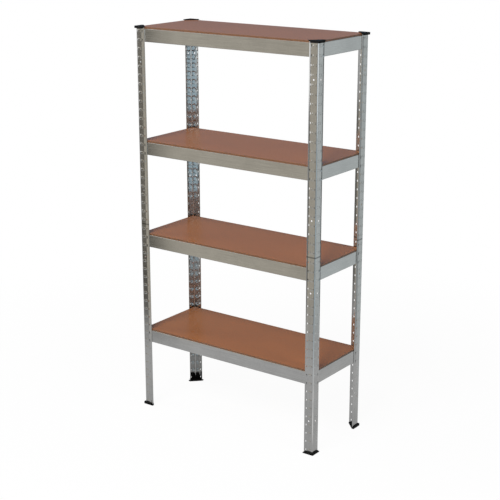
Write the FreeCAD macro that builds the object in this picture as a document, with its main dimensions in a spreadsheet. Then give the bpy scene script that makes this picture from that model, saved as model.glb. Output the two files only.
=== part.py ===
"""Boltless steel shelving unit: angle posts in two halves, hooked channel beams and loose boards.

Frame: +Z up, X along the width, -Y is the front. The origin is on the floor, under the middle
of the unit. Millimetres and degrees.
"""
import FreeCAD, Part
import math
import os
import re

import Sketcher
from FreeCAD import Placement, Rotation, Vector

PARTS_FOLDER = "parts"
SAME_PLACE = 0.01
SAME_WAY = 0.999
SMALLEST_CHANGE = 0.1

# Driving dimensions: alias, value and meaning.
DIMENSIONS = [
    ("unit_width", "750", "outer face of the left posts to outer face of the right posts"),
    ("unit_depth", "300", "outer face of the front posts to outer face of the back posts"),
    ("half_post", "700", "length of one half of a post"),
    ("post_flange", "36", "width of each flange of a post"),
    ("post_sheet", "1.2", "sheet thickness of a post"),
    ("post_bend", "4", "outer radius of a post's corner"),
    ("edge_strip", "12", "width of the strip along a flange's free edge that curves inwards"),
    ("edge_lean", "2.1", "how far the free edge lies inside the flange's face"),
    ("slot_pitch", "30.5", "distance between slots"),
    ("slot_count", "23", "slots in a row on one half post"),
    ("end_slot", "12", "outer end of a half post to its first slot's centre"),
    ("slot_width", "2.9", "width of a hook slot"),
    ("slot_height", "6.5", "height of a hook slot"),
    ("slot_from_corner", "27.5", "post's outer corner to the middle of the slots"),
    ("dimple_from_corner", "13", "post's outer corner to the middle of the dimples"),
    ("dimple_length", "16", "width of a stiffening dimple"),
    ("dimple_height", "10", "height of a stiffening dimple"),
    ("dimple_rise", "0.7", "how far a dimple stands out of the flange"),
    ("dimple_slope", "74", "angle between a dimple's side and the way it is pressed"),
    ("recess_inset", "0.5", "how much smaller a dimple's hollow is at its mouth, each way"),
    ("hole_radius", "3", "radius of a fixing hole"),
    ("hole_from_corner", "17", "post's outer corner to the fixing holes"),
    ("hole_steps", "3.5", "slot pitches from a half post's end slot to its fixing hole"),
    ("beam_height", "45", "height of a beam's web"),
    ("beam_top_flange", "18", "width of a beam's top flange, which carries the board"),
    ("beam_bottom_flange", "10", "width of a beam's bottom flange"),
    ("beam_sheet", "1", "sheet thickness of a beam"),
    ("beam_bend", "1.6", "outer radius of a beam's bends"),
    ("beam_inset", "3.6", "post's outer face to the outer face of a beam's web"),
    ("beam_end_gap", "8", "post's outer face to the end of a beam's web"),
    ("notch_gap", "0.5", "gap between the flanges of two beams at a corner"),
    ("notch_from_web", "2.5", "outer face of a beam's web to the notch in its flanges"),
    ("hook_width", "2.2", "width of a beam's hook"),
    ("hook_sheet", "1", "thickness of a hook's nose"),
    ("hook_neck", "2", "height of a hook's neck"),
    ("hook_nose", "3.1", "how far a hook's nose reaches below its neck"),
    ("hook_gap", "0.2", "gap between a hook's nose and the post's outer face"),
    ("hook_seat_gap", "0.1", "gap between a hook's neck and the end of its slot"),
    ("hook_drop", "8", "top of a beam to the middle of the slot of its upper hook"),
    ("board_sheet", "6", "thickness of a board"),
    ("board_inset", "5", "post's outer face to the edge of a board"),
    ("board_corner", "3", "radius of a board's corners"),
    ("top_shelf_slot", "0", "slot of the top shelf's upper hooks, counted down the upper half"),
    ("upper_shelf_slot", "13", "the same for the shelf below it"),
    ("lower_shelf_slot", "21", "slot of the lower shelf's upper hooks, counted up the lower half"),
    ("bottom_shelf_slot", "9", "the same for the bottom shelf"),
    ("splice_length", "62", "length of the angle that joins two half posts"),
    ("splice_flange", "23.5", "post's outer corner to a splice's free edge"),
    ("splice_sheet", "1", "sheet thickness of a splice"),
    ("splice_bend", "3", "outer radius of a splice's corner"),
    ("splice_gap", "0.1", "gap between a splice and the post's inner face"),
    ("splice_dimple_length", "12", "width of a splice's snap dimple"),
    ("splice_dimple_height", "6", "height of a splice's snap dimple"),
    ("splice_dimple_rise", "0.5", "how far a snap dimple stands out"),
    ("splice_dimple_slope", "45", "angle between a snap dimple's side and the way it is pressed"),
    ("end_overhang", "4.5", "how far a cap or a foot stands out past the post's outer face"),
    ("end_reach", "37", "post's outer corner to the tips of a cap or a foot"),
    ("end_clearance", "0.15", "gap between a cap or a foot and the post's outer face"),
    ("end_corner", "2", "radius of the outer corner of a cap or a foot"),
    ("end_tip", "3.5", "width of a cap or a foot past its inner face, at its two tips"),
    ("skirt_reach", "30.5", "post's outer corner to the ends of the skirt of a cap or a foot"),
    ("end_height", "8", "height of that skirt"),
    ("foot_plate", "3", "thickness of the plate under a post"),
    ("foot_rim", "2", "thickness of the rim along a foot's long side"),
    ("foot_rim_height", "5", "height of that rim above the floor"),
    ("tongue_width", "19", "width of a foot's upright tongue"),
    ("tongue_height", "24", "height of a tongue above the floor"),
    ("tongue_sheet", "2.5", "thickness of a tongue"),
    ("tongue_from_corner", "14", "post's outer corner to the middle of a tongue"),
    ("cap_plate", "2", "thickness of a cap's plate"),
    ("cap_lap", "3.4", "how far a cap's skirt reaches down the post"),
    ("cap_seat_width", "2.35", "post's outer face to the inner edge of a cap's seat"),
    ("cap_rib_sheet", "0.9", "thickness of a cap's rib inside the post"),
    ("cap_rib_depth", "8", "how far the rib reaches below the skirt"),
]
ALIASES = {alias for alias, value, meaning in DIMENSIONS}

# Corner name: turn about Z, and the signs of X and Y at that corner.
CORNERS = {
    "front_left": (0, -1, -1),
    "front_right": (90, 1, -1),
    "back_right": (180, 1, 1),
    "back_left": (270, -1, 1),
}
# Side name: turn about Z that takes a front beam to that side, and the two spans.
SIDES = {
    "front": (0, "unit_width", "unit_depth"),
    "back": (180, "unit_width", "unit_depth"),
    "left": (270, "unit_depth", "unit_width"),
    "right": (90, "unit_depth", "unit_width"),
}
# Shelf name: height of the middle of the slot that takes the shelf's upper hooks.
POST_TOP = "(foot_plate + 2 * half_post)"
SHELVES = {
    "top": POST_TOP + " - end_slot - top_shelf_slot * slot_pitch",
    "upper": POST_TOP + " - end_slot - upper_shelf_slot * slot_pitch",
    "lower": "foot_plate + end_slot + lower_shelf_slot * slot_pitch",
    "bottom": "foot_plate + end_slot + bottom_shelf_slot * slot_pitch",
}
JOINT_SLOT = "(half_post - end_slot - (slot_count - 1) * slot_pitch)"
ROLL_RADIUS = "((edge_strip ^ 2 + edge_lean ^ 2) / (2 * edge_lean))"

doc = FreeCAD.newDocument("ShelvingUnit")
sheet = doc.addObject("Spreadsheet::Sheet", "Sizes")


def fill_sheet():
    """Writes the driving dimensions into the sheet: value in column A, meaning in column B."""
    for row, (alias, value, meaning) in enumerate(DIMENSIONS, start=1):
        sheet.set("A%d" % row, value)
        sheet.set("B%d" % row, meaning)
        sheet.setAlias("A%d" % row, alias)
    doc.recompute()


def size(expression):
    """The number that an expression of aliases stands for."""
    return float(sheet.evalExpression(expression))


def bind(target, prop, expression):
    """Binds a property to an expression of aliases."""
    linked = re.sub(
        r"[a-z_]+", lambda m: "Sizes." + m.group(0) if m.group(0) in ALIASES else m.group(0), expression
    )
    target.setExpression(prop, linked)


def new_body(label):
    """An empty body with its own label."""
    body = doc.addObject("PartDesign::Body", label)
    body.Label = label
    return body


def origin_feature(body, role):
    """One of the body's own origin planes or axes."""
    return next(f for f in body.Origin.OriginFeatures if f.Role == role)


def new_sketch(body, name, role, offset=None):
    """A sketch on an origin plane, moved along the plane's normal by an expression."""
    sketch = body.newObject("Sketcher::SketchObject", name)
    sketch.AttachmentSupport = (origin_feature(body, role), "")
    sketch.MapMode = "FlatFace"
    if offset:
        bind(sketch, "AttachmentOffset.Base.z", offset)
    return sketch


def pin_point(sketch, geometry, point, across, up):
    """Holds a point of the sketch at two distances from the origin, each an expression."""
    for kind, expression in (("DistanceX", across), ("DistanceY", up)):
        name = "%s_%d_%d" % (kind[-1].lower(), geometry, point)
        rule = Sketcher.Constraint(kind, -1, 1, geometry, point, size(expression))
        sketch.renameConstraint(sketch.addConstraint(rule), name)
        bind(sketch, "Constraints." + name, expression)


def fix_radius(sketch, geometry, radius):
    """Binds the radius of an arc or a circle."""
    name = "radius_%d" % geometry
    rule = Sketcher.Constraint("Radius", geometry, size(radius))
    sketch.renameConstraint(sketch.addConstraint(rule), name)
    bind(sketch, "Constraints." + name, radius)


def shallow_arc(start, end, radius, turns_left):
    """The short arc from one point to another, turning left or right."""
    chord = end - start
    height = math.sqrt(radius**2 - (chord.Length / 2) ** 2)
    leftwards = Vector(-chord.y, chord.x, 0).normalize()
    centre = (start + end) / 2 + leftwards * (height if turns_left else -height)
    low, high = (start, end) if turns_left else (end, start)
    first, last = (math.atan2(point.y - centre.y, point.x - centre.x) for point in (low, high))
    if last < first:
        last += 2 * math.pi
    return Part.ArcOfCircle(Part.Circle(centre, Vector(0, 0, 1), radius), first, last)


def add_outline(sketch, corners, arcs=None):
    """A closed outline through corners given as pairs of expressions.

    Its sides are straight, except those named in arcs: the number of the corner that a side starts
    from, its radius, and whether it turns left.
    """
    arcs = arcs or {}
    first = sketch.GeometryCount
    count = len(corners)
    places = [Vector(size(across), size(up), 0) for across, up in corners]
    ends = []
    for i in range(count):
        start, end = places[i], places[(i + 1) % count]
        if i in arcs:
            radius, turns_left = arcs[i]
            sketch.addGeometry(shallow_arc(start, end, size(radius), turns_left), False)
            ends.append((1, 2) if turns_left else (2, 1))
        else:
            sketch.addGeometry(Part.LineSegment(start, end), False)
            ends.append((1, 2))
    for i in range(count):
        following = (i + 1) % count
        meeting = Sketcher.Constraint(
            "Coincident", first + i, ends[i][1], first + following, ends[following][0]
        )
        sketch.addConstraint(meeting)
    for i, (across, up) in enumerate(corners):
        pin_point(sketch, first + i, ends[i][0], across, up)
    for i, (radius, turns_left) in arcs.items():
        fix_radius(sketch, first + i, radius)


def add_obround(sketch, across, up, length, height):
    """A closed shape with two straight sides and two round ends, about a middle point."""
    first = sketch.GeometryCount
    middle = Vector(size(across), size(up), 0)
    radius = size(height) / 2
    reach = Vector(size(length) / 2 - radius, 0, 0)
    rise = Vector(0, radius, 0)
    quarter = math.pi / 2
    up_axis = Vector(0, 0, 1)
    for geometry in (
        Part.ArcOfCircle(Part.Circle(middle + reach, up_axis, radius), -quarter, quarter),
        Part.LineSegment(middle + reach + rise, middle - reach + rise),
        Part.ArcOfCircle(Part.Circle(middle - reach, up_axis, radius), quarter, 3 * quarter),
        Part.LineSegment(middle - reach - rise, middle + reach - rise),
    ):
        sketch.addGeometry(geometry, False)
    for i in range(4):
        sketch.addConstraint(Sketcher.Constraint("Tangent", first + i, 2, first + (i + 1) % 4, 1))
    sketch.addConstraint(Sketcher.Constraint("Equal", first, first + 2))
    half = "(%s - %s) / 2" % (length, height)
    pin_point(sketch, first, 3, "%s + %s" % (across, half), up)
    pin_point(sketch, first + 2, 3, "%s - %s" % (across, half), up)
    fix_radius(sketch, first, height + " / 2")


def add_circle(sketch, across, up, radius):
    """A circle about a middle point."""
    middle = Vector(size(across), size(up), 0)
    index = sketch.addGeometry(Part.Circle(middle, Vector(0, 0, 1), size(radius)), False)
    pin_point(sketch, index, 3, across, up)
    fix_radius(sketch, index, radius)


def add_round_topped(sketch, across, low, high, radius):
    """An upright outline with straight sides and a half-round top."""
    first = sketch.GeometryCount
    shoulder = "(%s - %s)" % (high, radius)
    left, right = "(%s - %s)" % (across, radius), "(%s + %s)" % (across, radius)
    places = [(left, shoulder), (left, low), (right, low), (right, shoulder)]
    points = [Vector(size(x), size(y), 0) for x, y in places]
    for start, end in zip(points[:-1], points[1:]):
        sketch.addGeometry(Part.LineSegment(start, end), False)
    middle = Vector(size(across), size(shoulder), 0)
    circle = Part.Circle(middle, Vector(0, 0, 1), size(radius))
    sketch.addGeometry(Part.ArcOfCircle(circle, 0, math.pi), False)
    for i in range(3):
        sketch.addConstraint(Sketcher.Constraint("Coincident", first + i, 2, first + i + 1, 1))
    sketch.addConstraint(Sketcher.Constraint("Coincident", first + 3, 2, first, 1))
    for i, (x, y) in enumerate(places[:3]):
        pin_point(sketch, first + i, 1, x, y)
    pin_point(sketch, first + 2, 2, *places[3])
    name = "middle_%d" % first
    rule = Sketcher.Constraint("DistanceY", -1, 1, first + 3, 3, size(shoulder))
    sketch.renameConstraint(sketch.addConstraint(rule), name)
    bind(sketch, "Constraints." + name, shoulder)


def extrude(body, kind, sketch, length=None, reverse=False, slope=None, both_ways=False):
    """A Pad or a Pocket of a sketch. A length of None cuts through everything."""
    feature = body.newObject("PartDesign::" + kind, sketch.Name + "_" + kind.lower())
    feature.Profile = sketch
    feature.Reversed = reverse
    if both_ways:
        feature.SideType = "Symmetric"
    if length is None:
        feature.Type = "ThroughAll"
    else:
        bind(feature, "Length", length)
    if slope:
        bind(feature, "TaperAngle", "-(%s)" % slope)
    doc.recompute()
    return feature


def round_edges(body, base, name, radius, is_wanted):
    """Rounds the edges of a feature whose middle and direction pass a test."""
    wanted = []
    for i, edge in enumerate(base.Shape.Edges, start=1):
        line = edge.lastVertex().Point - edge.firstVertex().Point
        if line.Length > 0 and is_wanted(edge.CenterOfMass, line.normalize()):
            wanted.append("Edge%d" % i)
    fillet = body.newObject("PartDesign::Fillet", name)
    fillet.Base = (base, wanted)
    bind(fillet, "Radius", radius)
    doc.recompute()
    return fillet


def edge_at(axis, **place):
    """A test for a straight edge along an axis of the body, at the given coordinates."""

    def is_wanted(middle, direction):
        along = abs(getattr(direction, axis)) > SAME_WAY
        return along and all(abs(getattr(middle, k) - v) < SAME_PLACE for k, v in place.items())

    return is_wanted


def place_at_corner(body, corner, height, upside_down=False):
    """Puts a piece that is drawn with its outer corner on the Z axis at a corner of the unit."""
    turn, across, along = CORNERS[corner]
    rotation = Rotation(Vector(0, 0, 1), turn)
    if upside_down:
        rotation = rotation * Rotation(Vector(1, 1, 0), 180)
    body.Placement = Placement(Vector(0, 0, 0), rotation)
    bind(body, "Placement.Base.x", "%d * unit_width / 2" % across)
    bind(body, "Placement.Base.y", "%d * unit_depth / 2" % along)
    bind(body, "Placement.Base.z", height)


def angle_outline(flange, inner, outer):
    """The corners of an L with two equal flanges, from its outer faces to its inner ones."""
    return [
        (flange, outer),
        (flange, inner),
        (inner, inner),
        (inner, flange),
        (outer, flange),
        (outer, outer),
    ]


def each_flange():
    """For the two flanges of an angle: name, sketch plane, and whether outwards is its normal."""
    return (("front", "XZ_Plane", True), ("side", "YZ_Plane", False))


def depth_offset(outwards_is_normal, depth):
    """Offset of a sketch plane that puts it a depth inside a flange's outer face."""
    return "-(%s)" % depth if outwards_is_normal else depth


def make_half_post(label, corner, upper):
    """A rolled angle with slots, dimples and fixing holes. Its outer end is at its own z = 0."""
    body = new_body(label)
    profile = new_sketch(body, label + "_profile", "XY_Plane")
    flat = "(post_flange - edge_strip)"
    inner_edge = "(post_flange - post_sheet * edge_strip / %s)" % ROLL_RADIUS
    inner_lean = "(edge_lean + post_sheet * (1 - edge_lean / %s))" % ROLL_RADIUS
    inner_roll = "(%s - post_sheet)" % ROLL_RADIUS
    add_outline(
        profile,
        [
            ("post_flange", "edge_lean"),
            (inner_edge, inner_lean),
            (flat, "post_sheet"),
            ("post_sheet", "post_sheet"),
            ("post_sheet", flat),
            (inner_lean, inner_edge),
            ("edge_lean", "post_flange"),
            ("0", flat),
            ("0", "0"),
            (flat, "0"),
        ],
        {1: (inner_roll, False), 4: (inner_roll, False), 6: (ROLL_RADIUS, True), 9: (ROLL_RADIUS, True)},
    )
    blank = extrude(body, "Pad", profile, "half_post")
    bend = round_edges(body, blank, label + "_bend", "post_bend", edge_at("z", x=0, y=0))
    sheet_face = size("post_sheet")
    round_edges(
        body, bend, label + "_inner_bend", "post_bend - post_sheet", edge_at("z", x=sheet_face, y=sheet_face)
    )

    repeated = []
    for flange, plane, outwards in each_flange():
        dimple = new_sketch(body, "%s_%s_dimple" % (label, flange), plane)
        add_obround(dimple, "dimple_from_corner", "end_slot", "dimple_length", "dimple_height")
        repeated.append(extrude(body, "Pad", dimple, "dimple_rise", not outwards, "dimple_slope"))

        recess = new_sketch(
            body, "%s_%s_recess" % (label, flange), plane, depth_offset(outwards, "post_sheet")
        )
        add_obround(
            recess,
            "dimple_from_corner",
            "end_slot",
            "dimple_length - 2 * recess_inset",
            "dimple_height - 2 * recess_inset",
        )
        repeated.append(extrude(body, "Pocket", recess, "dimple_rise", outwards, "dimple_slope"))

        slot = new_sketch(body, "%s_%s_slot" % (label, flange), plane)
        left, right = "slot_from_corner - slot_width / 2", "slot_from_corner + slot_width / 2"
        low, high = "end_slot - slot_height / 2", "end_slot + slot_height / 2"
        add_outline(slot, [(left, low), (right, low), (right, high), (left, high)])
        repeated.append(extrude(body, "Pocket", slot, "3 * post_sheet", not outwards))

    rows = body.newObject("PartDesign::LinearPattern", label + "_rows")
    rows.Originals = repeated
    rows.Direction = (origin_feature(body, "Z_Axis"), [""])
    bind(rows, "Length", "(slot_count - 1) * slot_pitch")
    bind(rows, "Occurrences", "slot_count")
    body.Tip = rows
    doc.recompute()

    for flange, plane, outwards in each_flange():
        holes = new_sketch(body, "%s_%s_holes" % (label, flange), plane)
        add_circle(holes, "hole_from_corner", "end_slot + hole_steps * slot_pitch", "hole_radius")
        add_circle(
            holes,
            "hole_from_corner",
            "half_post - %s - hole_steps * slot_pitch" % JOINT_SLOT,
            "hole_radius",
        )
        extrude(body, "Pocket", holes, "3 * post_sheet", not outwards)
    place_at_corner(body, corner, POST_TOP if upper else "foot_plate", upside_down=upper)
    return body


def make_splice(label, corner):
    """A short angle inside a post, centred on the joint of its two halves."""
    body = new_body(label)
    profile = new_sketch(body, label + "_profile", "XY_Plane")
    outer = "(post_sheet + splice_gap)"
    inner = "(post_sheet + splice_gap + splice_sheet)"
    add_outline(profile, angle_outline("splice_flange", inner, outer))
    blank = extrude(body, "Pad", profile, "splice_length", both_ways=True)
    bend = round_edges(
        body, blank, label + "_bend", "splice_bend", edge_at("z", x=size(outer), y=size(outer))
    )
    round_edges(
        body,
        bend,
        label + "_inner_bend",
        "splice_bend - splice_sheet",
        edge_at("z", x=size(inner), y=size(inner)),
    )
    faces = (("dimple", outer, "0", "Pad"), ("recess", inner, "recess_inset", "Pocket"))
    for flange, plane, outwards in each_flange():
        for face, depth, inset, kind in faces:
            shape = new_sketch(body, "%s_%s_%s" % (label, flange, face), plane, depth_offset(outwards, depth))
            for height in (JOINT_SLOT, "-" + JOINT_SLOT):
                add_obround(
                    shape,
                    "dimple_from_corner",
                    height,
                    "(splice_dimple_length - 2 * %s)" % inset,
                    "(splice_dimple_height - 2 * %s)" % inset,
                )
            reverse = outwards if kind == "Pocket" else not outwards
            extrude(body, kind, shape, "splice_dimple_rise", reverse, "splice_dimple_slope")
    place_at_corner(body, corner, "foot_plate + half_post")
    return body


def end_piece_outline():
    """A triangle with blunt tips that covers the post's end and stands out past its outer faces."""
    out, reach = "-end_overhang", "end_reach"
    return [(out, out), (reach, out), (reach, "end_tip"), ("end_tip", reach), (out, reach)]


def skirt_outline():
    """An L along the outer faces of a post, short of its free edges."""
    return angle_outline("skirt_reach", "-end_clearance", "-end_overhang")


def make_cap(label, corner):
    """A three-cornered cap on a post's top end, over the corner of the top board."""
    body = new_body(label)
    skirt = new_sketch(body, label + "_skirt", "XY_Plane")
    add_outline(skirt, skirt_outline())
    extrude(body, "Pad", skirt, "end_height")

    plate = new_sketch(body, label + "_plate", "XY_Plane", "end_height - cap_plate")
    add_outline(plate, end_piece_outline())
    extrude(body, "Pad", plate, "cap_plate")

    seat = new_sketch(body, label + "_seat", "XY_Plane", "cap_lap")
    add_outline(seat, angle_outline("end_reach", "cap_seat_width", "-end_clearance"))
    extrude(body, "Pad", seat, "end_height - cap_lap")

    rib = new_sketch(body, label + "_rib", "XY_Plane", "-cap_rib_depth")
    near, far = "tongue_from_corner - tongue_width / 2", "tongue_from_corner + tongue_width / 2"
    inside, outside = "cap_seat_width", "(cap_seat_width - cap_rib_sheet)"
    add_outline(rib, [(near, outside), (far, outside), (far, inside), (near, inside)])
    add_outline(rib, [(outside, near), (inside, near), (inside, far), (outside, far)])
    ribs = extrude(body, "Pad", rib, "end_height + cap_rib_depth - cap_plate")

    out = size("-end_overhang")
    round_edges(body, ribs, label + "_corner", "end_corner", edge_at("z", x=out, y=out))
    place_at_corner(body, corner, POST_TOP + " - cap_lap")
    return body


def make_foot(label, corner):
    """A three-cornered foot with a skirt outside the post and two round tongues inside it."""
    body = new_body(label)
    plate = new_sketch(body, label + "_plate", "XY_Plane")
    add_outline(plate, end_piece_outline())
    extrude(body, "Pad", plate, "foot_plate")

    skirt = new_sketch(body, label + "_skirt", "XY_Plane")
    add_outline(skirt, skirt_outline())
    extrude(body, "Pad", skirt, "end_height")

    rim = new_sketch(body, label + "_rim", "XY_Plane")
    reach = "end_reach"
    inner_reach = "(end_reach - sqrt(2) * foot_rim)"
    add_outline(
        rim, [(reach, "end_tip"), ("end_tip", reach), ("end_tip", inner_reach), (inner_reach, "end_tip")]
    )
    rims = extrude(body, "Pad", rim, "foot_rim_height")

    out = size("-end_overhang")
    round_edges(body, rims, label + "_corner", "end_corner", edge_at("z", x=out, y=out))

    for flange, plane, outwards in each_flange():
        depth = "(post_sheet + end_clearance)"
        tongue = new_sketch(body, "%s_%s_tongue" % (label, flange), plane, depth_offset(outwards, depth))
        radius = "(tongue_width / 2)"
        add_round_topped(tongue, "tongue_from_corner", "foot_plate / 2", "tongue_height", radius)
        extrude(body, "Pad", tongue, "tongue_sheet", outwards)
    place_at_corner(body, corner, "0")
    return body


def make_beam(label, side, shelf):
    """A channel beam with two hooks at each end. Its outer face is at its own y = 0, its top at z = 0."""
    turn, span, other_span = SIDES[side]
    body = new_body(label)
    profile = new_sketch(body, label + "_profile", "YZ_Plane")
    low = "-beam_height"
    add_outline(
        profile,
        [
            ("0", "0"),
            ("beam_top_flange", "0"),
            ("beam_top_flange", "-beam_sheet"),
            ("beam_sheet", "-beam_sheet"),
            ("beam_sheet", "beam_sheet - beam_height"),
            ("beam_bottom_flange", "beam_sheet - beam_height"),
            ("beam_bottom_flange", low),
            ("0", low),
        ],
    )
    feature = extrude(body, "Pad", profile, span + " - 2 * beam_end_gap", both_ways=True)
    web = size("beam_sheet")
    bottom = size(low)
    for name, radius, y, z in (
        ("top_bend", "beam_bend", 0, 0),
        ("bottom_bend", "beam_bend", 0, bottom),
        ("top_inner_bend", "beam_bend - beam_sheet", web, -web),
        ("bottom_inner_bend", "beam_bend - beam_sheet", web, bottom + web),
    ):
        feature = round_edges(body, feature, "%s_%s" % (label, name), radius, edge_at("x", y=y, z=z))

    if span == "unit_width":
        notch = new_sketch(body, label + "_notch", "XY_Plane", "beam_sheet")
        near = "(%s / 2 - beam_inset - beam_top_flange - notch_gap)" % span
        far, deep = "(%s / 2)" % span, "(beam_top_flange + beam_sheet)"
        for sign in ("", "-"):
            add_outline(
                notch,
                [
                    (sign + near, "notch_from_web"),
                    (sign + far, "notch_from_web"),
                    (sign + far, deep),
                    (sign + near, deep),
                ],
            )
        extrude(body, "Pocket", notch)

    hooks = new_sketch(body, label + "_hooks", "YZ_Plane", span + " / 2 - slot_from_corner")
    nose_in = "-(beam_inset + hook_gap)"
    nose_out = "-(beam_inset + hook_gap + hook_sheet)"
    for slot_middle in ("(-hook_drop)", "(-hook_drop - slot_pitch)"):
        neck_low = "(%s - slot_height / 2 + hook_seat_gap)" % slot_middle
        neck_high = "(%s + hook_neck)" % neck_low
        nose_low = "(%s - hook_nose)" % neck_low
        add_outline(
            hooks,
            [
                ("beam_sheet / 2", neck_high),
                (nose_out, neck_high),
                (nose_out, nose_low),
                (nose_in, nose_low),
                (nose_in, neck_low),
                ("beam_sheet / 2", neck_low),
            ],
        )
    near_hooks = extrude(body, "Pad", hooks, "hook_width", both_ways=True)
    far_hooks = body.newObject("PartDesign::Mirrored", label + "_far_hooks")
    far_hooks.Originals = [near_hooks]
    far_hooks.MirrorPlane = (origin_feature(body, "YZ_Plane"), [""])
    body.Tip = far_hooks

    rotation = Rotation(Vector(0, 0, 1), turn)
    outwards = rotation.multVec(Vector(0, -1, 0))
    body.Placement = Placement(Vector(0, 0, 0), rotation)
    bind(body, "Placement.Base.x", "%d * (%s / 2 - beam_inset)" % (round(outwards.x), other_span))
    bind(body, "Placement.Base.y", "%d * (%s / 2 - beam_inset)" % (round(outwards.y), other_span))
    bind(body, "Placement.Base.z", SHELVES[shelf] + " + hook_drop")
    return body


def make_board(label, shelf):
    """A loose board that lies on the top flanges of four beams."""
    body = new_body(label)
    outline = new_sketch(body, label + "_outline", "XY_Plane")
    across, along = "(unit_width / 2 - board_inset)", "(unit_depth / 2 - board_inset)"
    add_outline(
        outline,
        [("-" + across, "-" + along), (across, "-" + along), (across, along), ("-" + across, along)],
    )
    slab = extrude(body, "Pad", outline, "board_sheet")
    round_edges(
        body,
        slab,
        label + "_corners",
        "board_corner",
        lambda middle, direction: abs(direction.z) > SAME_WAY,
    )
    bind(body, "Placement.Base.z", SHELVES[shelf] + " + hook_drop")
    return body


def check_document():
    """Stops on a failed object, or on a cut that removed nothing or a pad that added nothing."""
    for item in doc.Objects:
        if {"Invalid", "Error"} & set(item.State):
            raise RuntimeError("%s is %s" % (item.Name, item.State))
        base = getattr(item, "BaseFeature", None)
        if base and item.TypeId in ("PartDesign::Pad", "PartDesign::Pocket"):
            change = item.Shape.Volume - base.Shape.Volume
            if (change > 0) != (item.TypeId == "PartDesign::Pad") or abs(change) < SMALLEST_CHANGE:
                raise RuntimeError("%s changed the volume by %.3f" % (item.Name, change))


def write_parts(pieces):
    """Writes one STEP file for each piece."""
    os.makedirs(PARTS_FOLDER, exist_ok=True)
    for piece in pieces:
        shape = piece.Shape
        if shape.isNull() or not shape.isValid() or len(shape.Solids) != 1:
            raise RuntimeError(piece.Label + " is not one valid solid")
    for piece in pieces:
        piece.Shape.exportStep(os.path.join(PARTS_FOLDER, piece.Label + ".step"))


def build():
    """Makes every piece of the unit."""
    fill_sheet()
    pieces = []
    for corner in CORNERS:
        pieces.append(make_half_post("post_%s_upper" % corner, corner, upper=True))
        pieces.append(make_half_post("post_%s_lower" % corner, corner, upper=False))
        pieces.append(make_splice("splice_" + corner, corner))
        pieces.append(make_cap("cap_" + corner, corner))
        pieces.append(make_foot("foot_" + corner, corner))
    for shelf in SHELVES:
        for side in SIDES:
            pieces.append(make_beam("beam_%s_%s" % (side, shelf), side, shelf))
        pieces.append(make_board("board_" + shelf, shelf))
    doc.recompute()
    check_document()
    write_parts(pieces)
    print("%d pieces written" % len(pieces))


build()
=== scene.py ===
"""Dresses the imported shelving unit: galvanised steel, pressed fibreboard and black plastic.

Metres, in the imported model's frame: +Z up, X along the width, -Y is the front. Angles are degrees,
and an azimuth turns from the front towards the left side.
"""

import math

import bpy
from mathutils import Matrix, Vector


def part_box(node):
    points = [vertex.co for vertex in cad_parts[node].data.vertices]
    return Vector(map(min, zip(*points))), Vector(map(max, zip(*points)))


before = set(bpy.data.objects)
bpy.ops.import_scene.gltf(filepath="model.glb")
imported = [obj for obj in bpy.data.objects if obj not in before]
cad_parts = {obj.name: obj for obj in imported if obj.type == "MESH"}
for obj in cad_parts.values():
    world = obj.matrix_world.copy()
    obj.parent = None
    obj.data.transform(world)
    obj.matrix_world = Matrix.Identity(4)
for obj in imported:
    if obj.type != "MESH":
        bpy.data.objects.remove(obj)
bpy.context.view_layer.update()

# Camera: in nearly the direction of the photograph's. That one was level and had a large lens
# shift; this one has none, stands further out and tilts down.
CAMERA_PLACE = (2.432, -3.330, 1.848)
CAMERA_TURN = 36.12
CAMERA_TILT = 16.44
CAMERA_LENS = 87.3

# Linear colours of the unit.
STEEL = (0.55, 0.55, 0.543)
FIBREBOARD = (0.345, 0.118, 0.028)
RAW_EDGE = (0.150, 0.068, 0.032)
PLASTIC = (0.004, 0.004, 0.004)

# Tints of the studio.
WHITE = (1.0, 1.0, 1.0)
WARM = (1.0, 0.93, 0.79)
COOL = (0.92, 0.99, 1.0)
BLUE = (0.76, 0.99, 1.14)
SKY = (0.70, 1.02, 1.38)

# Noises: scale, detail and roughness. Most of a noise's values lie in NOISE_RANGE.
NOISE_RANGE = (0.3, 0.7)
STREAKS = (420.0, 3.0, 0.6)
CLOUDS = (14.0, 3.0, 0.5)
FIBRES = (900.0, 3.0, 0.6)
FLECKS = (260.0, 4.0, 0.65)
MOTTLING = (6.0, 4.0, 0.55)
GRAIN = (1400.0, 2.0, 0.5)

# Steel: the spangle's scale, the streaks' stretch along the rolling direction, and the lowest and
# highest brightness and roughness that each texture gives. Both roughnesses are added.
SPANGLE_SCALE = 330.0
STREAK_STRETCH = 0.03
SPANGLE_BRIGHTNESS = (0.97, 1.03)
STREAK_BRIGHTNESS = (0.92, 1.08)
CLOUD_BRIGHTNESS = (0.95, 1.05)
SPANGLE_ROUGHNESS = (-0.02, 0.02)
STREAK_ROUGHNESS = (0.11, 0.16)

# The painted shade line where two half posts meet, which stands in for the shadow in the gap
# between them: its height, half its width, its soft edge and its brightness.
JOINT_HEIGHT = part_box("post_front_left_lower")[1][2]
JOINT_HALF = 0.0018
JOINT_EDGE = 0.0015
JOINT_SHADE_LEVEL = 0.5

# Fibreboard: as for steel. The flecks are longer along X, and a face is flat where its normal is
# more upright than FLAT_FACE.
FLECK_STRETCH = (1, 1.6, 1)
FIBRE_BRIGHTNESS = (0.92, 1.08)
FLECK_BRIGHTNESS = (0.94, 1.06)
MOTTLE_BRIGHTNESS = (0.96, 1.04)
FLECK_ROUGHNESS = (0.26, 0.34)
FLAT_FACE = 0.7

# Plastic: brightness and roughness where the grain's value is 0 and 1, and its specular level.
GRAIN_BRIGHTNESS = (0.8, 1.3)
GRAIN_ROUGHNESS = (0.55, 0.70)
PLASTIC_SPECULAR = 0.1

# Relief: its depth, and the strength of the fibres and of the plastic's grain.
RELIEF_DEPTH = 0.0002
FIBRE_RELIEF = 0.3
GRAIN_RELIEF = 0.5

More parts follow.
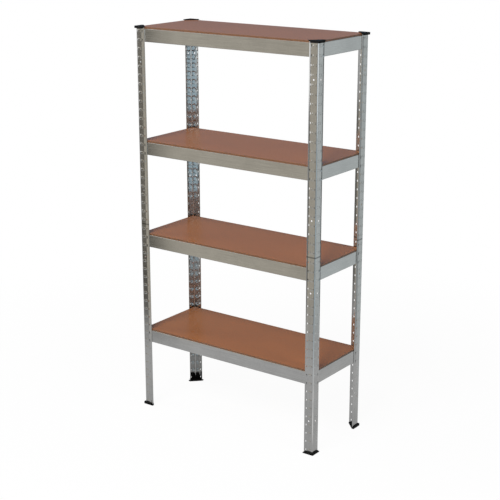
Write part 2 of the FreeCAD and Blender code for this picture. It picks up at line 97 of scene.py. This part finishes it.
# World: its strength as a light. Where it is seen or mirrored it is white, with a strength of 1.
WORLD_LIGHT = 0.15

# Floor: half its width, its grey and roughness, and how much of it glows white behind the unit,
# from the first distance to the second.
FLOOR_HALF = 12.0
FLOOR_GREY = 0.90
FLOOR_ROUGHNESS = 0.9
FLOOR_GLOW = (0.96, 1.0)
FLOOR_GLOW_AT = (0.8, 2.0)

# What the metal and the boards mirror: a ring of lit and grey cards, a flat disc with a small hole
# just above the floor and an upright wall at its rim.
RING_HOLE = 0.02
RING_RADIUS = 3.0
RING_HEIGHT = 8.0
RING_ABOVE_FLOOR = 0.002
RING_SIDES = 96
# Distances from the middle: between the first two, UNDER_LEVEL gives way to RING_FLOOR's stops, and
# between the others those give way to RING_LOW's.
UNDER_LEVEL = 0.5
UNDER_UNTIL = (0.45, 0.6)
FLOOR_UNTIL = (0.9, 1.6)
# The height where RING_LOW gives way to RING_HIGH, and half the height of the blend.
RING_EYE = 1.22
RING_BLEND = 0.1
# The highest brightness that the ring's ramps hold.
RING_PEAK = 2.0
# Stops: azimuth, brightness and tint.
RING_FLOOR = (
    (-180, 0.55, WHITE),
    (-86, 0.55, WHITE),
    (-78, 1.00, WHITE),
    (-50, 1.00, WHITE),
    (-42, 0.55, WHITE),
    (180, 0.55, WHITE),
)
RING_LOW = (
    (-180, 0.14, COOL),
    (-160, 0.16, COOL),
    (-149, 0.50, COOL),
    (-142, 0.68, COOL),
    (-134, 0.62, COOL),
    (-127, 0.36, COOL),
    (-114, 0.45, COOL),
    (-108, 1.00, COOL),
    (-98, 1.00, COOL),
    (-90, 0.40, COOL),
    (-53, 0.30, COOL),
    (-48, 1.20, BLUE),
    (-32, 1.20, BLUE),
    (-27, 0.16, WHITE),
    (0, 0.16, WARM),
    (12, 0.38, WARM),
    (22, 0.52, WARM),
    (37, 0.56, WARM),
    (42.4, 0.62, WARM),
    (43.8, 0.11, WARM),
    (50, 0.11, WARM),
    (54, 0.40, WHITE),
    (95, 0.40, WHITE),
    (120, 0.40, COOL),
    (160, 0.30, COOL),
    (180, 0.14, COOL),
)
RING_HIGH = (
    (-180, 0.26, SKY),
    (-165, 0.30, SKY),
    (-150, 0.60, COOL),
    (-136, 0.60, COOL),
    (-127, 0.34, COOL),
    (-98, 0.36, COOL),
    (-78, 1.60, WHITE),
    (-56, 1.60, WHITE),
    (-48, 0.90, BLUE),
    (-30, 0.90, BLUE),
    (-27, 0.20, WARM),
    (2, 0.20, WARM),
    (12, 0.51, WARM),
    (45, 0.51, WARM),
    (54, 1.25, WHITE),
    (72, 1.25, WHITE),
    (90, 0.36, COOL),
    (110, 0.26, SKY),
    (180, 0.26, SKY),
)

# Three brighter cards just inside the ring's wall, between two heights: first and last azimuth, and
# brightness.
CARD_HEIGHTS = (0.68, 1.22)
CARD_RADIUS = RING_RADIUS - 0.05
CARD_STEP = 2
CARDS = {
    "right_card": (-84, -52, 1.6),
    "front_card": (-26, 14, 0.65),
    "left_card": (50, 78, 1.25),
}

# Lamps: a large soft key high in front, which reaches every shelf, and one fill at each side.
# Place, width and height, and power in watts. All of them point at the unit's middle.
LAMP_TARGET = (0, 0, 0.7)
LAMPS = {
    "key": ((0.3, -3.4, 3.6), (2.4, 1.6), 200),
    "left": ((-3.4, -1.2, 2.4), (0.8, 2.2), 25),
    "right": ((3.4, -0.6, 2.4), (0.8, 2.2), 25),
}

# The axis along which each side's beams run.
AXIS_OF_SIDE = {"front": "X", "back": "X", "left": "Y", "right": "Y"}


class Nodes:
    """A material's node tree, with short calls to add nodes and links."""

    def __init__(self, name):
        self.material = bpy.data.materials.new(name)
        self.material.use_nodes = True
        self.tree = self.material.node_tree
        self.shader = self.tree.nodes["Principled BSDF"]
        self.output = self.tree.nodes["Material Output"]

    def add(self, kind, inputs=None, **settings):
        """A node with its settings, and its inputs set to values or linked to other nodes."""
        node = self.tree.nodes.new(kind)
        for key, value in settings.items():
            setattr(node, key, value)
        for key, value in (inputs or {}).items():
            self.set(node, key, value)
        return node

    def set(self, node, key, value):
        """Sets an input, or links it when the value is an output socket."""
        if isinstance(value, bpy.types.NodeSocket):
            self.tree.links.new(value, node.inputs[key])
        else:
            node.inputs[key].default_value = value

    def place(self, scale=(1, 1, 1)):
        """Object coordinates times a scale for each axis."""
        coordinates = self.add("ShaderNodeTexCoord").outputs["Object"]
        mapping = self.add("ShaderNodeMapping", {"Vector": coordinates, "Scale": scale})
        return mapping.outputs["Vector"]

    def distance(self, place):
        """How far a place is from the middle of the floor."""
        node = self.add("ShaderNodeVectorMath", {0: place}, operation="LENGTH")
        return node.outputs["Value"]

    def noise(self, place, scale, detail, roughness):
        """A noise value about 0.5."""
        inputs = {"Vector": place, "Scale": scale, "Detail": detail, "Roughness": roughness}
        return self.add("ShaderNodeTexNoise", inputs).outputs["Fac"]

    def spread(self, value, to_range, from_range=(0.0, 1.0)):
        """Maps a value's range to another."""
        inputs = {"Value": value}
        inputs["From Min"], inputs["From Max"] = from_range
        inputs["To Min"], inputs["To Max"] = to_range
        return self.add("ShaderNodeMapRange", inputs).outputs["Result"]

    def maths(self, operation, first, second=0.0):
        """One operation on two values, or on the first alone."""
        node = self.add("ShaderNodeMath", {0: first, 1: second}, operation=operation)
        return node.outputs["Value"]

    def product(self, first, *others):
        """The product of several values."""
        for other in others:
            first = self.maths("MULTIPLY", first, other)
        return first

    def mix(self, factor, first, second, blend="MIX"):
        """A mix of two colours."""
        inputs = {0: factor, 6: first, 7: second}
        return self.add("ShaderNodeMix", inputs, data_type="RGBA", blend_type=blend).outputs[2]

    def brighten(self, colour, factor):
        """A colour times a value."""
        grey = self.add("ShaderNodeCombineColor", {"Red": factor, "Green": factor, "Blue": factor})
        return self.mix(1.0, colour, grey.outputs["Color"], "MULTIPLY")

    def relief(self, height, strength):
        """A fine surface relief from a height value."""
        inputs = {"Height": height, "Distance": RELIEF_DEPTH, "Strength": strength}
        return self.add("ShaderNodeBump", inputs).outputs["Normal"]

    def glow(self, colour, strength):
        """A shader that gives off light by itself."""
        inputs = {"Color": colour, "Strength": strength}
        return self.add("ShaderNodeEmission", inputs).outputs[0]


def with_alpha(colour):
    """A colour as four numbers."""
    return (*colour, 1.0)


def joint_shade_line(nodes, place):
    """The brightness of the painted shade line between two half posts, and 1 elsewhere."""
    height = nodes.add("ShaderNodeSeparateXYZ", {"Vector": place}).outputs["Z"]
    apart = nodes.maths("ABSOLUTE", nodes.maths("SUBTRACT", height, JOINT_HEIGHT))
    return nodes.spread(apart, (JOINT_SHADE_LEVEL, 1.0), (JOINT_HALF, JOINT_HALF + JOINT_EDGE))


def steel_material(name, along, shade_joint=False):
    """Galvanised sheet: fine spangle, streaks along its rolling direction, a smooth zinc skin, and
    on the posts a painted shade line at the joint.
    """
    nodes = Nodes(name)
    place = nodes.place()
    inputs = {"Vector": place, "Scale": SPANGLE_SCALE}
    cells = nodes.add("ShaderNodeTexVoronoi", inputs, feature="F1").outputs["Color"]
    spangle = nodes.add("ShaderNodeSeparateColor", {"Color": cells}).outputs["Red"]
    stretch = [STREAK_STRETCH if axis == along else 1 for axis in "XYZ"]
    streaks = nodes.noise(nodes.place(stretch), *STREAKS)
    clouds = nodes.noise(place, *CLOUDS)

    brightness = nodes.product(
        nodes.spread(spangle, SPANGLE_BRIGHTNESS),
        nodes.spread(streaks, STREAK_BRIGHTNESS, NOISE_RANGE),
        nodes.spread(clouds, CLOUD_BRIGHTNESS, NOISE_RANGE),
    )
    # Painted shade: a thin dark band at the joint height, standing in for the shadow in the gap
    # between the half posts.
    if shade_joint:
        brightness = nodes.product(brightness, joint_shade_line(nodes, place))
    roughness = nodes.maths(
        "ADD",
        nodes.spread(spangle, SPANGLE_ROUGHNESS),
        nodes.spread(streaks, STREAK_ROUGHNESS, NOISE_RANGE),
    )
    nodes.set(nodes.shader, "Base Color", nodes.brighten(with_alpha(STEEL), brightness))
    nodes.set(nodes.shader, "Metallic", 1.0)
    nodes.set(nodes.shader, "Roughness", roughness)
    return nodes.material


def fibreboard_material(name):
    """Smooth pressed fibreboard: fine fibres, soft mottling, a satin skin and darker sawn edges."""
    nodes = Nodes(name)
    place = nodes.place()
    fibres = nodes.noise(place, *FIBRES)
    flecks = nodes.noise(nodes.place(FLECK_STRETCH), *FLECKS)
    mottling = nodes.noise(place, *MOTTLING)
    brightness = nodes.product(
        nodes.spread(fibres, FIBRE_BRIGHTNESS, NOISE_RANGE),
        nodes.spread(flecks, FLECK_BRIGHTNESS, NOISE_RANGE),
        nodes.spread(mottling, MOTTLE_BRIGHTNESS, NOISE_RANGE),
    )
    normal = nodes.add("ShaderNodeNewGeometry").outputs["Normal"]
    upright = nodes.add("ShaderNodeSeparateXYZ", {"Vector": normal}).outputs["Z"]
    flat = nodes.maths("GREATER_THAN", nodes.maths("ABSOLUTE", upright), FLAT_FACE)
    colour = nodes.mix(flat, with_alpha(RAW_EDGE), with_alpha(FIBREBOARD))
    nodes.set(nodes.shader, "Base Color", nodes.brighten(colour, brightness))
    nodes.set(nodes.shader, "Roughness", nodes.spread(flecks, FLECK_ROUGHNESS, NOISE_RANGE))
    nodes.set(nodes.shader, "Normal", nodes.relief(fibres, FIBRE_RELIEF))
    return nodes.material


def plastic_material(name):
    """Black moulded plastic with a fine grain."""
    nodes = Nodes(name)
    grain = nodes.noise(nodes.place(), *GRAIN)
    brightness = nodes.spread(grain, GRAIN_BRIGHTNESS)
    nodes.set(nodes.shader, "Base Color", nodes.brighten(with_alpha(PLASTIC), brightness))
    nodes.set(nodes.shader, "Roughness", nodes.spread(grain, GRAIN_ROUGHNESS))
    nodes.set(nodes.shader, "Specular IOR Level", PLASTIC_SPECULAR)
    nodes.set(nodes.shader, "Normal", nodes.relief(grain, GRAIN_RELIEF))
    return nodes.material


def dress_nodes():
    """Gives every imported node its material."""
    plastic = plastic_material("black_plastic")
    materials = {
        # The posts get the painted shade line at the joint between their halves.
        "post": steel_material("steel_post", "Z", shade_joint=True),
        "splice": steel_material("steel_splice", "Z"),
        "board": fibreboard_material("fibreboard"),
        "cap": plastic,
        "foot": plastic,
    }
    beams = {
        "X": steel_material("steel_long_beam", "X"),
        "Y": steel_material("steel_short_beam", "Y"),
    }
    for name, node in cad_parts.items():
        kind, side = name.split("_")[:2]
        material = beams[AXIS_OF_SIDE[side]] if kind == "beam" else materials[kind]
        for slot in node.material_slots:
            slot.material = material


def seen_as_background(tree):
    """A value that is 1 for camera, glossy and transmission rays, and 0 for the others."""
    path = tree.nodes.new("ShaderNodeLightPath")
    total = path.outputs["Is Camera Ray"]
    for name in ("Is Glossy Ray", "Is Transmission Ray"):
        largest = tree.nodes.new("ShaderNodeMath")
        largest.operation = "MAXIMUM"
        tree.links.new(total, largest.inputs[0])
        tree.links.new(path.outputs[name], largest.inputs[1])
        total = largest.outputs["Value"]
    return total


def make_world():
    """White behind the unit, and a plain soft level of light on it."""
    world = bpy.data.worlds.new("studio")
    bpy.context.scene.world = world
    world.use_nodes = True
    tree = world.node_tree
    background = tree.nodes["Background"]
    background.inputs["Color"].default_value = with_alpha(WHITE)
    strength = tree.nodes.new("ShaderNodeMapRange")
    strength.inputs["To Min"].default_value = WORLD_LIGHT
    strength.inputs["To Max"].default_value = 1.0
    tree.links.new(seen_as_background(tree), strength.inputs["Value"])
    tree.links.new(strength.outputs["Result"], background.inputs["Strength"])


def stage_object(name, points, faces, material):
    """A mesh of the studio, which isn't part of the unit."""
    mesh = bpy.data.meshes.new(name)
    mesh.from_pydata(points, [], faces)
    mesh.materials.append(material)
    item = bpy.data.objects.new(name, mesh)
    bpy.context.scene.collection.objects.link(item)
    return item


def show_in_reflections_only(item):
    """Hides a studio object from every ray but the mirrored ones."""
    item.visible_camera = False
    item.visible_diffuse = False
    item.visible_shadow = False
    item.visible_transmission = False


def make_floor():
    """A wide white floor that keeps a faint shadow and fades into the white behind it."""
    nodes = Nodes("floor")
    nodes.set(nodes.shader, "Base Color", with_alpha([FLOOR_GREY] * 3))
    nodes.set(nodes.shader, "Roughness", FLOOR_ROUGHNESS)
    nodes.set(nodes.shader, "Specular IOR Level", 0.0)
    glow = nodes.glow(with_alpha(WHITE), 1.0)
    share = nodes.spread(nodes.distance(nodes.place()), FLOOR_GLOW, FLOOR_GLOW_AT)
    share = nodes.product(seen_as_background(nodes.tree), share)
    mixed = nodes.add("ShaderNodeMixShader", {0: share, 1: nodes.shader.outputs[0], 2: glow})
    nodes.set(nodes.output, "Surface", mixed.outputs[0])
    signs = ((-1, -1), (1, -1), (1, 1), (-1, 1))
    corners = [(x * FLOOR_HALF, y * FLOOR_HALF, 0) for x, y in signs]
    stage_object("floor", corners, [(0, 1, 2, 3)], nodes.material)


def colour_ramp(nodes, turn, stops):
    """A ring's colour from the share of a full turn, as a share of the peak brightness."""
    ramp = nodes.add("ShaderNodeValToRGB", {"Fac": turn})
    elements = ramp.color_ramp.elements
    while len(elements) < len(stops):
        elements.new(0.5)
    for element, (azimuth, level, tint) in zip(elements, stops):
        element.position = azimuth / 360 + 0.5
        element.color = with_alpha([level / RING_PEAK * share for share in tint])
    return ramp.outputs["Color"]


def ring_material():
    """The ring's glow, by azimuth, distance and height."""
    nodes = Nodes("ring")
    place = nodes.place((-1, -1, 1))
    apart = nodes.add("ShaderNodeSeparateXYZ", {"Vector": place})
    azimuth = nodes.maths("ARCTAN2", apart.outputs["X"], apart.outputs["Y"])
    turn = nodes.spread(azimuth, (0.0, 1.0), (-math.pi, math.pi))
    floor = colour_ramp(nodes, turn, RING_FLOOR)
    low = colour_ramp(nodes, turn, RING_LOW)
    high = colour_ramp(nodes, turn, RING_HIGH)
    far = nodes.distance(place)
    outside = nodes.spread(far, (0.0, 1.0), UNDER_UNTIL)
    near = nodes.spread(far, (1.0, 0.0), FLOOR_UNTIL)
    blend = (RING_EYE - RING_BLEND, RING_EYE + RING_BLEND)
    raised = nodes.spread(apart.outputs["Z"], (0.0, 1.0), blend)
    under = with_alpha([UNDER_LEVEL / RING_PEAK] * 3)
    colour = nodes.mix(near, low, nodes.mix(outside, under, floor))
    colour = nodes.mix(raised, colour, high)
    nodes.set(nodes.output, "Surface", nodes.glow(colour, RING_PEAK))
    return nodes.material


def make_ring():
    """Lit and grey cards in a ring round the unit, which only reflections show."""
    rims = (
        (RING_HOLE, RING_ABOVE_FLOOR),
        (RING_RADIUS, RING_ABOVE_FLOOR),
        (RING_RADIUS, RING_HEIGHT),
    )
    points = []
    for radius, height in rims:
        for i in range(RING_SIDES):
            angle = 2 * math.pi * i / RING_SIDES
            points.append((radius * math.cos(angle), radius * math.sin(angle), height))
    faces = []
    for rim in range(len(rims) - 1):
        for i in range(RING_SIDES):
            corner = rim * RING_SIDES + i
            following = rim * RING_SIDES + (i + 1) % RING_SIDES
            faces.append((corner, following, following + RING_SIDES, corner + RING_SIDES))
    show_in_reflections_only(stage_object("ring", points, faces, ring_material()))


def make_card(name, first, last, level):
    """A bright upright card just inside the ring, which only reflections show."""
    nodes = Nodes(name)
    nodes.set(nodes.output, "Surface", nodes.glow(with_alpha(WHITE), level))
    points = []
    for azimuth in range(first, last + 1, CARD_STEP):
        angle = math.radians(azimuth)
        x, y = -CARD_RADIUS * math.sin(angle), -CARD_RADIUS * math.cos(angle)
        points += [(x, y, height) for height in CARD_HEIGHTS]
    faces = [(i, i + 2, i + 3, i + 1) for i in range(0, len(points) - 2, 2)]
    show_in_reflections_only(stage_object(name, points, faces, nodes.material))


def make_lamp(name, place, size, power):
    """A soft rectangular lamp that points at the unit's middle."""
    data = bpy.data.lights.new(name, "AREA")
    data.shape = "RECTANGLE"
    data.size, data.size_y = size
    data.energy = power
    lamp = bpy.data.objects.new(name, data)
    bpy.context.scene.collection.objects.link(lamp)
    lamp.location = place
    aim = Vector(LAMP_TARGET) - Vector(place)
    lamp.rotation_euler = aim.to_track_quat("-Z", "Y").to_euler()


def make_camera():
    """The view from the front right and a little above the unit's top."""
    data = bpy.data.cameras.new("camera")
    data.lens = CAMERA_LENS
    camera = bpy.data.objects.new("camera", data)
    bpy.context.scene.collection.objects.link(camera)
    camera.location = CAMERA_PLACE
    camera.rotation_euler = (math.radians(90 - CAMERA_TILT), 0, math.radians(CAMERA_TURN))
    bpy.context.scene.camera = camera


make_camera()
make_world()
make_floor()
make_ring()
for card_name, card in CARDS.items():
    make_card(card_name, *card)
for lamp_name, lamp_settings in LAMPS.items():
    make_lamp(lamp_name, *lamp_settings)
dress_nodes()
bpy.context.scene.view_settings.view_transform = "Standard"
